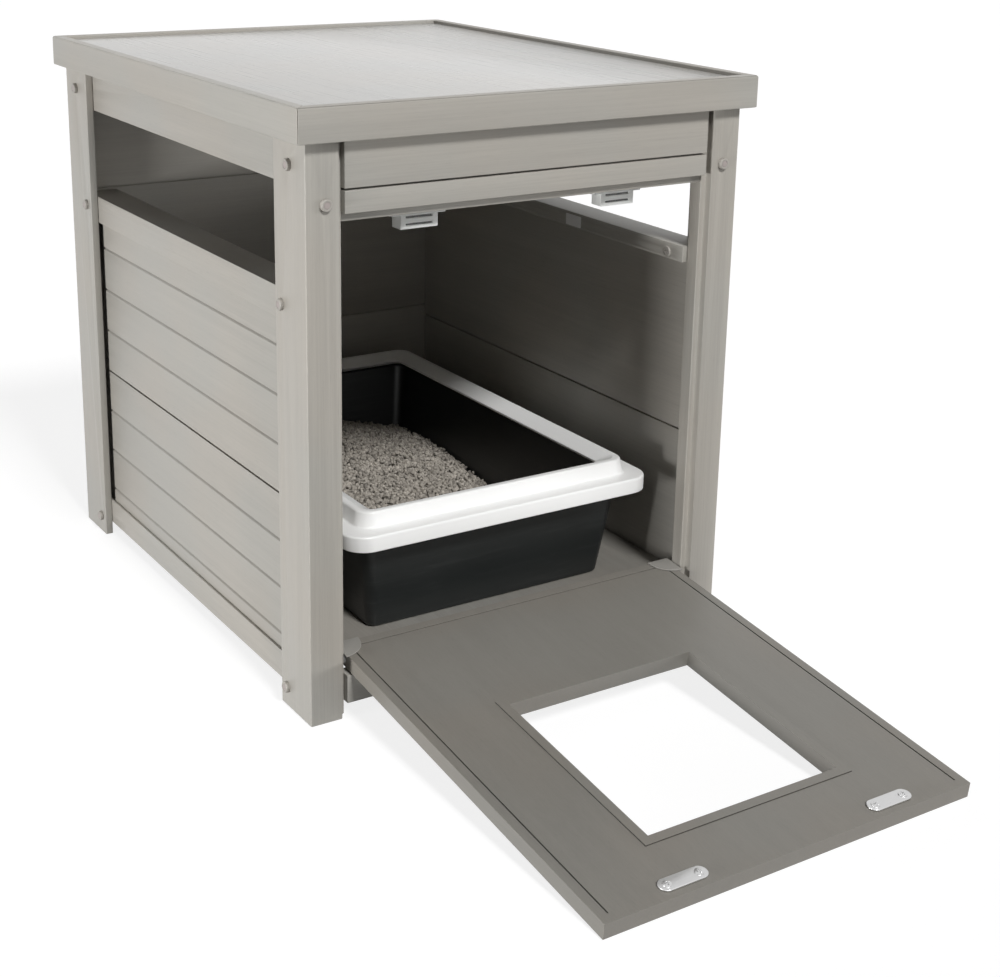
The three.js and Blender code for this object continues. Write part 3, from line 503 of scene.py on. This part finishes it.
def bolt(node):
    """Round cap with a plug in its middle, on a plain shank, along the CAD bolt's own axis."""
    low, high = (np.array(corner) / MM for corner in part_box(node))
    middle = (low + high) / 2
    if node.endswith("_front_rail"):
        seat = np.array([middle[0], low[1] + HEAD_HEIGHT, middle[2]])
        shank = high[1] - seat[1]
        across, up, out = (1, 0, 0), (0, 0, 1), (0, -1, 0)
    else:
        side = -1.0 if node.startswith("left") else 1.0
        tip = low[0] if side < 0 else high[0]
        seat = np.array([tip - side * HEAD_HEIGHT, middle[1], middle[2]])
        shank = (high[0] - low[0]) - HEAD_HEIGHT
        across, up, out = (0, side, 0), (0, 0, 1), (side, 0, 0)
    spokes = 36
    shank_profile = [(SHANK_RADIUS, 0.0), (SHANK_RADIUS, -shank), (0.0, -shank)]
    shell, faces = turned([*CAP_HEAD, *shank_profile], spokes)
    vertices = placed(shell, across, up, out, seat)
    inlay = np.arange(len(vertices)) < PLUG_POINTS * spokes
    cap(node, vertices, faces, tone=inlay)


def nut(node):
    """Round cap with a raised rim and a bar across its hollow, on the rail's inner face."""
    low, high = (np.array(corner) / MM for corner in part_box(node))
    middle = (low + high) / 2
    side = -1.0 if node.startswith("left") else 1.0
    seat = np.array([high[0] if side > 0 else low[0], middle[1], middle[2]])

    def hollow(x, y):
        inside = np.hypot(x, y) < NUT_HOLLOW_RADIUS
        return np.where(inside & (np.abs(y) > NUT_BAR_HALF), NUT_HOLLOW_DEPTH, 0.0)

    radii = np.array([0, 0.5, 0.8, 0.9, 1.5, 2.5, 3.4, 3.7, 3.8, 4.4, 5.2])
    heights = np.full(len(radii), 1.85)
    head = [*zip(radii, heights), (5.65, 1.7), (5.9, 1.35), (6.0, 0.9), (6.0, 0.02), (0.0, 0.0)]
    shell, faces = turned(head, 48, relief=hollow)
    cap(node, placed(shell, (0, -side, 0), (0, 0, 1), (-side, 0, 0), seat), faces)


for node in sorted(SLOT_OF):
    if "_bolt_" in node:
        bolt(node)
    elif "_nut_" in node:
        nut(node)

# ---------------------------------------------------------------- door fittings


def cross_recess(x, y):
    """A cross whose arms are 1.2 wide and 4.6 long, sloping down to 1.3 at its middle."""
    depth = 1.3 * np.clip(1 - np.hypot(x, y) / 2.6, 0, 1) ** 0.6
    arms = np.minimum(np.abs(x), np.abs(y)) < 0.6
    return np.where(arms & (np.hypot(x, y) < 2.4), depth, 0.0)


def screw(name, body, at, across, up, out, radius=3.8):
    """Cross-head screw, its head a low dome."""
    station = np.concatenate([np.linspace(0, 2.7, 19), np.linspace(2.9, radius, 6)])
    dome = 1.15 * (1 - (station / (radius * 1.45)) ** 2)
    profile = [*zip(station, dome), (radius + 0.05, 0.3), (radius + 0.05, 0.02), (0.0, 0.0)]
    shell, faces = turned(profile, 72, relief=cross_recess)
    vertices = placed(shell, across, up, out, at)
    piece(name, body, finishes[("satin_metal", "")], vertices, faces)


DOOR_FITTINGS_INWARD = 7.3  # where the door's fittings lie on its inner face
STRIKE_LENGTH = 46.0
STRIKE_WIDTH = 14.0
STRIKE_THICKNESS = 1.6
STRIKE_UP = 391.0
STRIKE_SPREAD = 107.7
STRIKE_SCREW_SPREAD = 15.5
STRIKE_AXES = ((1, 0, 0), tuple(-c for c in DOOR_UP), DOOR_IN)
CORNER_SPREAD = 193.0
CORNER_UP = -14.0
CORNER_RADIUS = 25.0
POLE_LENGTH = 26.4
POLE_WIDTH = 1.3
POLE_INSET = 1.9
POLE_HEIGHTS = (("lower", 444.5), ("upper", 451.0))
EAR_SPREAD = 23.0
EAR_HEIGHT = 452.5
PAIR = (("inner", -1), ("outer", 1))


def strike(word, side):
    """A plate with round ends on the door's inner face, and its two screws."""
    outline = rounded(rectangle(STRIKE_LENGTH, STRIKE_WIDTH), STRIKE_WIDTH / 2 - 0.01, steps=16)
    shell, faces = plate(outline, STRIKE_THICKNESS, 0.5)
    vertices = placed(shell, *STRIKE_AXES, on_door(side * STRIKE_SPREAD, STRIKE_UP, DOOR_FITTINGS_INWARD))
    metal = finishes[("satin_metal", "")]
    stands_for = [f"door_{word}_strike"]
    piece(f"{word}_strike_plate", "door", metal, vertices, faces, stands_for)
    for place, shift in PAIR:
        x = side * (STRIKE_SPREAD + shift * STRIKE_SCREW_SPREAD)
        head = on_door(x, STRIKE_UP, DOOR_FITTINGS_INWARD + STRIKE_THICKNESS)
        screw(f"{word}_strike_{place}_screw", "door", head, *STRIKE_AXES)


def corner_plate(word, side):
    """A quarter disc over the door's corner by the hinge."""
    turn = np.linspace(0, math.pi / 2, 25)
    arc = np.stack([-side * CORNER_RADIUS * np.cos(turn), CORNER_RADIUS * np.sin(turn)], axis=1)
    outline = np.concatenate([[(0.0, 0.0)], arc])
    if side > 0:
        outline = outline[::-1]
    shell, faces = plate(outline, 1.5, 0.4, steps=3)
    seat = on_door(side * CORNER_SPREAD, CORNER_UP, DOOR_FITTINGS_INWARD)
    vertices = placed(shell, (1, 0, 0), DOOR_UP, DOOR_IN, seat)
    grey = finishes[("hinge_plastic", "")]
    stands_for = [f"door_{word}_corner_cap"]
    piece(f"door_{word}_corner_plate", "door", grey, vertices, faces, stands_for)


def catch_fittings(word, side):
    """Steel pole plates deep in the catch's two slots, and a screw in each of its ears."""
    low, high = (np.array(corner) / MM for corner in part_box(f"{word}_magnetic_catch"))
    middle = (low + high) / 2
    for place, height in POLE_HEIGHTS:
        bar, faces = plate(rounded(rectangle(POLE_LENGTH, POLE_WIDTH), 0.3), 0.9, 0.15)
        at = (middle[0], low[1] + POLE_INSET, height)
        vertices = placed(bar, (1, 0, 0), (0, 0, 1), (0, -1, 0), at)
        piece(f"{word}_catch_{place}_pole", "cabinet", pole_steel, vertices, faces)
    for place, shift in PAIR:
        ear = (middle[0] + side * shift * EAR_SPREAD, middle[1], EAR_HEIGHT)
        name = f"{word}_catch_{place}_screw"
        screw(name, "cabinet", ear, (1, 0, 0), (0, -1, 0), (0, 0, -1), radius=2.9)


for word, side in (("left", -1), ("right", 1)):
    strike(word, side)
    corner_plate(word, side)
    catch_fittings(word, side)

# The bare label on the right sill rail's inner face.
LABEL_AT = (188.7, POST_FRONT + 207.0, 383.0)
label, faces = plate(rounded(rectangle(27.0, 12.0), 1.2), 0.35, 0.1)
vertices = placed(label, (0, -1, 0), (0, 0, 1), (-1, 0, 0), LABEL_AT)
piece("bare_sill_label", "cabinet", bare_label, vertices, faces)

# ---------------------------------------------------------------- pan and rim

PAN_FRONT_DEPTH = 68.0
PAN_BACK_DEPTH = 485.0
PAN_MIDDLE_Y = POST_FRONT + (PAN_FRONT_DEPTH + PAN_BACK_DEPTH) / 2
PAN_HALF = (134.0, (PAN_BACK_DEPTH - PAN_FRONT_DEPTH) / 2)
PAN_BASE = 45.3
PAN_TOP = 152.8
PAN_WALL = 2.5
PAN_FLARE = 16.0  # how much wider the pan stands on each side at its top
FLANGE_OUTSET = 32.5
FLANGE_THICKNESS = 3.0
BASE_CORNER = 9.0
CORNER_GROWTH = 0.38
LITTER_INSET = 2.8  # from the pan's outer face to the litter


def corner_radius(outset):
    """The corners of the pan's outline grow with the outset from their radius at the base."""
    return np.clip(BASE_CORNER + CORNER_GROWTH * outset, 1.0, None)


def pan_outline(outset, steps=20):
    """Round the pan's base at an outset: a rectangle grown by the outset, an arc of the corner's radius at
    each corner. One row for each outset."""
    outset = np.atleast_1d(np.asarray(outset, float))[:, None]
    radius = corner_radius(outset)
    quarter = np.linspace(0, math.pi / 2, steps + 1)
    turn = np.concatenate([quarter + k * math.pi / 2 for k in range(4)])
    sign_x = np.repeat([1, -1, -1, 1], steps + 1)
    sign_y = np.repeat([1, 1, -1, -1], steps + 1)
    x = sign_x * (PAN_HALF[0] + outset - radius) + radius * np.cos(turn)
    y = sign_y * (PAN_HALF[1] + outset - radius) + radius * np.sin(turn)
    return x, y + PAN_MIDDLE_Y


def carried(section, closed):
    """A section of (outset, height) carried round the pan's outline, its ends capped unless it closes."""
    section = np.asarray(section, float)
    if closed:
        section = np.concatenate([section, section[:1]])
    x, y = pan_outline(section[:, 0])
    z = np.repeat(section[:, 1:], x.shape[1], axis=1)
    vertices = np.stack([x, y, z], axis=-1).reshape(-1, 3)
    count = x.shape[1]
    faces = [*grid_quads(len(section), count)]
    if not closed:
        faces += [range(count), range(len(vertices) - count, len(vertices))]
    return vertices, faces


def wall_outset(z):
    """Outset of the pan's outer face at a height."""
    return PAN_FLARE * (z - PAN_BASE) / (PAN_TOP - PAN_BASE)


def open_rounded(corners, radii, steps=6):
    """The rounded outline of an open run: its two end points stay as they are."""
    closed = rounded(corners, radii, steps)
    inner = closed[steps + 1: -(steps + 1)]
    return np.concatenate([[corners[0]], inner, [corners[-1]]])


flange = PAN_TOP - FLANGE_THICKNESS
floor_top = PAN_BASE + PAN_WALL
pan_section = open_rounded(
    [
        (-60.0, PAN_BASE + 1.2), (-9.0, PAN_BASE + 1.2), (-6.0, PAN_BASE), (0.0, PAN_BASE),
        (wall_outset(flange), flange), (FLANGE_OUTSET, flange), (FLANGE_OUTSET, PAN_TOP),
        (PAN_FLARE - PAN_WALL, PAN_TOP), (wall_outset(floor_top) - PAN_WALL, floor_top),
        (-60.0, floor_top),
    ],
    [1.0, 1.0, 1.0, 4.0, 1.0, 0.9, 0.9, 2.0, 5.0, 1.0],
)
vertices, faces = carried(pan_section, closed=False)
black = finishes[("pan_plastic", "")]
piece("black_litter_pan", "pan", black, vertices, faces, ["litter_pan"])

lip_bottom = PAN_TOP - 12.5
seat = PAN_TOP + 0.3
crest = PAN_TOP + 18.5
mouth = PAN_TOP + 8.5
rim_section = rounded(
    [
        (34.0, lip_bottom), (37.0, lip_bottom), (37.0, seat + 3.0), (20.0, seat + 3.0), (17.0, crest),
        (11.0, crest), (-3.0, mouth + 3.0), (-3.0, mouth), (11.0, crest - 3.0), (14.0, crest - 3.0),
        (17.0, seat), (34.0, seat),
    ],
    [0.6, 1.2, 2.2, 2.0, 2.4, 2.8, 1.3, 0.8, 1.0, 0.8, 0.8, 1.0],
    steps=6,
)
vertices, faces = carried(rim_section, closed=True)
piece("white_pan_rim", "rim", finishes[("rim_plastic", "")], vertices, faces, ["pan_rim"])

# ---------------------------------------------------------------- litter

HEAP_AT = (-40.0, POST_FRONT + 420.0)
HEAP_SPREAD = (175.0, 165.0)
HEAP_RISE = 60.0
BED_HEIGHT = 58.0
BED_DROP = 3.0  # how far the bed lies under the granules' own level
LITTER_BOTTOM = PAN_BASE + LITTER_INSET


def heap(x, y):
    """A level bed plus a low mound that falls off as a bell in both directions."""
    across = (x - HEAP_AT[0]) / HEAP_SPREAD[0]
    ahead = (y - HEAP_AT[1]) / HEAP_SPREAD[1]
    return BED_HEIGHT + HEAP_RISE * np.exp(-(across**2) - ahead**2)


def lumps(x, y, draws):
    """A sum of waves in random directions, each shorter wave lower than the one before."""
    total = np.zeros_like(x)
    for length, height in ((38.0, 1.3), (21.0, 0.9), (11.0, 0.7), (6.0, 0.5)):
        for _ in range(4):
            turn, phase = draws.uniform(0, 2 * math.pi, 2)
            distance = x * math.cos(turn) + y * math.sin(turn)
            total += height / 2 * np.sin(distance * 2 * math.pi / length + phase)
    return total


def litter_bed():
    """Rings drawn in from the pan's inner wall to its middle, each point at the heap's height."""
    draws = np.random.default_rng(11)
    x, y = pan_outline(wall_outset(70.0) - LITTER_INSET, steps=40)
    for _ in range(3):
        outsets = (wall_outset(heap(x, y)) - LITTER_INSET)[0]
        x, y = (np.diag(values)[None] for values in pan_outline(outsets, steps=40))
    share = np.linspace(1, 0, 90)[:, None]
    rows_x = share * x
    rows_y = PAN_MIDDLE_Y + share * (y - PAN_MIDDLE_Y)
    fade = np.clip((1 - share) * 12, 0, 1)
    rows_z = heap(rows_x, rows_y) - BED_DROP + lumps(rows_x, rows_y, draws) * fade
    base = np.full_like(x, LITTER_BOTTOM)
    foot_x, foot_y = pan_outline(wall_outset(LITTER_BOTTOM) - LITTER_INSET, steps=40)
    rows = [np.stack([foot_x, foot_y, base], axis=-1), np.stack([rows_x, rows_y, rows_z], axis=-1)]
    vertices = np.concatenate([rows[0].reshape(1, -1, 3), rows[1]], axis=0)
    count = vertices.shape[1]
    faces = [*grid_quads(len(vertices), count), range(count)]
    return vertices.reshape(-1, 3), faces


def icosahedron():
    """Twelve points at the corners of three golden rectangles, and its twenty triangles."""
    golden = (1 + math.sqrt(5)) / 2
    points = np.array([(0, s, t * golden) for s in (-1, 1) for t in (-1, 1)], float)
    points = np.concatenate([points, np.roll(points, 1, axis=1), np.roll(points, 2, axis=1)])
    points /= np.linalg.norm(points[0])
    gap = np.linalg.norm(points[:, None] - points[None], axis=2)
    near = np.abs(gap - np.sort(gap[0])[1]) < 1e-6
    triangles = []
    for a in range(12):
        for b in range(a + 1, 12):
            for c in range(b + 1, 12):
                if near[a, b] and near[b, c] and near[a, c]:
                    outward = np.dot(np.cross(points[b] - points[a], points[c] - points[a]), points[a]) > 0
                    triangles.append((a, b, c) if outward else (a, c, b))
    return points, np.array(triangles)


def inside_pan(x, y, z, margin):
    """How a rounded rectangle is tested: distance beyond its corner centres, less the corner radius."""
    outset = wall_outset(z) - LITTER_INSET
    radius = corner_radius(outset)
    beyond_x = np.abs(x) - (PAN_HALF[0] + outset - radius)
    beyond_y = np.abs(y - PAN_MIDDLE_Y) - (PAN_HALF[1] + outset - radius)
    reach = np.hypot(np.clip(beyond_x, 0, None), np.clip(beyond_y, 0, None))
    return np.maximum(reach, np.maximum(beyond_x, beyond_y)) < radius - margin


def granule_layer(name, count, seed, lift, sizes):
    """Random lumpy granules on the heap: an icosahedron whose corners are drawn in or out, stretched,
    turned at random and set down at the heap's height."""
    draws = np.random.default_rng(seed)
    x = draws.uniform(-150, 150, 3 * count)
    y = PAN_MIDDLE_Y + draws.uniform(-220, 220, 3 * count)
    radius = draws.uniform(*sizes, 3 * count) * draws.uniform(0.75, 1.15, 3 * count)
    z = heap(x, y) + draws.uniform(*lift, 3 * count)
    kept = np.flatnonzero(inside_pan(x, y, z, radius))[:count]
    x, y, z, radius = x[kept], y[kept], z[kept], radius[kept]
    points, triangles = icosahedron()
    shape = points[None] * draws.uniform(0.72, 1.18, (len(kept), 12, 1))
    shape = shape * draws.uniform(0.7, 1.25, (len(kept), 1, 3))
    turn = np.linalg.qr(draws.normal(size=(len(kept), 3, 3)))[0]
    turn[:, 0] *= np.sign(np.linalg.det(turn))[:, None]
    grains = np.einsum("nij,nkj->nki", turn, shape) * radius[:, None, None]
    grains += np.stack([x, y, z], axis=1)[:, None]
    faces = triangles[None] + 12 * np.arange(len(kept))[:, None, None]
    tone = np.repeat(np.clip(draws.normal(0.5, 0.2, len(kept)), 0, 1), 12)
    clay = finishes[("litter", "")]
    vertices, faces = grains.reshape(-1, 3), faces.reshape(-1, 3)
    piece(name, "pan", clay, vertices, faces, tone=tone, smooth=False, tidy=False)


vertices, faces = litter_bed()
piece("litter_bed", "pan", finishes[("litter", "")], vertices, faces, ["litter"], tone=0.0)
granule_layer("litter_granules_low", 7500, 21, (-2.6, -0.4), (2.0, 3.0))
granule_layer("litter_granules_middle", 6500, 22, (-1.2, 1.2), (1.8, 2.9))
granule_layer("litter_granules_top", 2600, 23, (0.8, 3.0), (1.6, 2.6))

# ---------------------------------------------------------------- materials of the CAD pieces

for node, made in frame["nodes"].items():
    made.data.materials.clear()
    made.data.materials.append(finish_of(node))

# ---------------------------------------------------------------- floor, light and camera


def seen_as(tree, plain, shown):
    """The shown shader for what the camera, a reflection or a clear piece sees, else the plain one."""
    nodes, links = tree.nodes, tree.links
    path = nodes.new("ShaderNodeLightPath")
    either = nodes.new("ShaderNodeMath")
    either.operation = "MAXIMUM"
    links.new(path.outputs["Is Camera Ray"], either.inputs[0])
    links.new(path.outputs["Is Glossy Ray"], either.inputs[1])
    any_of = nodes.new("ShaderNodeMath")
    any_of.operation = "MAXIMUM"
    links.new(either.outputs[0], any_of.inputs[0])
    links.new(path.outputs["Is Transmission Ray"], any_of.inputs[1])
    mix = nodes.new("ShaderNodeMixShader")
    links.new(any_of.outputs[0], mix.inputs[0])
    links.new(plain.outputs[0], mix.inputs[1])
    links.new(shown.outputs[0], mix.inputs[2])
    return mix


def make_world(ambient):
    world = bpy.data.worlds.new("pale studio")
    bpy.context.scene.world = world
    world.use_nodes = True
    tree = world.node_tree
    tree.nodes.clear()
    plain = tree.nodes.new("ShaderNodeBackground")
    plain.inputs["Color"].default_value = (1.0, 1.0, 1.0, 1.0)
    plain.inputs["Strength"].default_value = ambient
    white = tree.nodes.new("ShaderNodeBackground")
    white.inputs["Color"].default_value = (1.0, 1.0, 1.0, 1.0)
    white.inputs["Strength"].default_value = 1.0
    out = tree.nodes.new("ShaderNodeOutputWorld")
    tree.links.new(seen_as(tree, plain, white).outputs[0], out.inputs[0])


def make_floor(glow, albedo, albedo_seen):
    """A plain floor; as seen it glows to white, and its lower albedo still takes the object's shadow."""
    width = 80.0
    level = -0.0003
    corners = [(x, y, level) for x, y in rectangle(width, width)]
    mesh = bpy.data.meshes.new("studio_floor")
    mesh.from_pydata(corners, [], [(0, 1, 2, 3)])
    material = bpy.data.materials.new("pale_floor")
    material.use_nodes = True
    tree = material.node_tree
    tree.nodes.clear()
    plain = tree.nodes.new("ShaderNodeBsdfDiffuse")
    plain.inputs["Color"].default_value = (albedo, albedo, albedo, 1.0)
    matt = tree.nodes.new("ShaderNodeBsdfDiffuse")
    matt.inputs["Color"].default_value = (albedo_seen, albedo_seen, albedo_seen, 1.0)
    light = tree.nodes.new("ShaderNodeEmission")
    light.inputs["Color"].default_value = (1.0, 1.0, 1.0, 1.0)
    light.inputs["Strength"].default_value = glow
    both = tree.nodes.new("ShaderNodeAddShader")
    tree.links.new(matt.outputs[0], both.inputs[0])
    tree.links.new(light.outputs[0], both.inputs[1])
    out = tree.nodes.new("ShaderNodeOutputMaterial")
    tree.links.new(seen_as(tree, plain, both).outputs[0], out.inputs[0])
    mesh.materials.append(material)
    floor = bpy.data.objects.new("studio_floor", mesh)
    bpy.context.scene.collection.objects.link(floor)


def hang(name, lamp, towards_light, at=(0.0, 0.0, 2.0), shines=True):
    """A lamp at a point, facing away from the given direction; one that doesn't shine makes no highlights."""
    made = bpy.data.objects.new(name, lamp)
    back = np.array(towards_light, float)
    back /= np.linalg.norm(back)
    side = np.cross((0.0, 0.0, 1.0), back)
    side /= np.linalg.norm(side)
    turn = np.identity(4)
    turn[:3, 0], turn[:3, 1], turn[:3, 2], turn[:3, 3] = side, np.cross(back, side), back, at
    made.matrix_world = Matrix(turn.tolist())
    made.visible_camera = False
    made.visible_glossy = shines
    bpy.context.scene.collection.objects.link(made)


def sun(name, towards_light, strength, spread, shines=True):
    """A broad soft lamp at a great distance; a strength of 1 lights a facing white surface to 1."""
    lamp = bpy.data.lights.new(name, "SUN")
    lamp.energy = strength * math.pi
    lamp.angle = math.radians(spread)
    hang(name, lamp, towards_light, shines=shines)


def panel_lamp(name, at, faces, strength, distance, size):
    """A rectangular lamp; a strength of 1 lights a facing white surface at the distance to 1."""
    lamp = bpy.data.lights.new(name, "AREA")
    lamp.shape = "RECTANGLE"
    lamp.size, lamp.size_y = size
    lamp.energy = strength * (math.pi * distance) ** 2
    hang(name, lamp, faces, at=at)


make_world(ambient=0.05)
make_floor(glow=0.82, albedo=0.3, albedo_seen=0.25)
panel_lamp("left_light", (-2.55, -0.3, 0.2), (-1.0, -0.1, 0.0), 0.96, 2.3, (0.8, 0.26))
sun("front_light", (0.0, -1.0, 0.95), 0.84, 12)
sun("right_light", (0.9, -0.36, 0.08), 0.40, 16, shines=False)
sun("back_light", (0.0, 1.0, 0.3), 0.45, 30, shines=False)


def make_camera():
    right = (0.84527993, -0.53407277, 0.01637414)
    down = (-0.1332982, -0.24044937, -0.96146539)
    forward = (0.51742964, 0.81052475, -0.27443796)
    turn = np.identity(4)
    turn[:3, 0] = right
    turn[:3, 1] = np.negative(down)
    turn[:3, 2] = np.negative(forward)
    turn[:3, 3] = (-0.843617, -1.327233, 0.758787)
    lens = bpy.data.cameras.new("camera")
    lens.sensor_width = 36.0
    lens.lens = 61.0788
    lens.shift_x = 0.02
    lens.shift_y = -0.1535
    lens.clip_end = 200.0
    camera = bpy.data.objects.new("camera", lens)
    camera.matrix_world = Matrix(turn.tolist())
    bpy.context.scene.collection.objects.link(camera)
    bpy.context.scene.camera = camera


make_camera()
bpy.context.scene.view_settings.view_transform = "Standard"

bpy.context.view_layer.update()
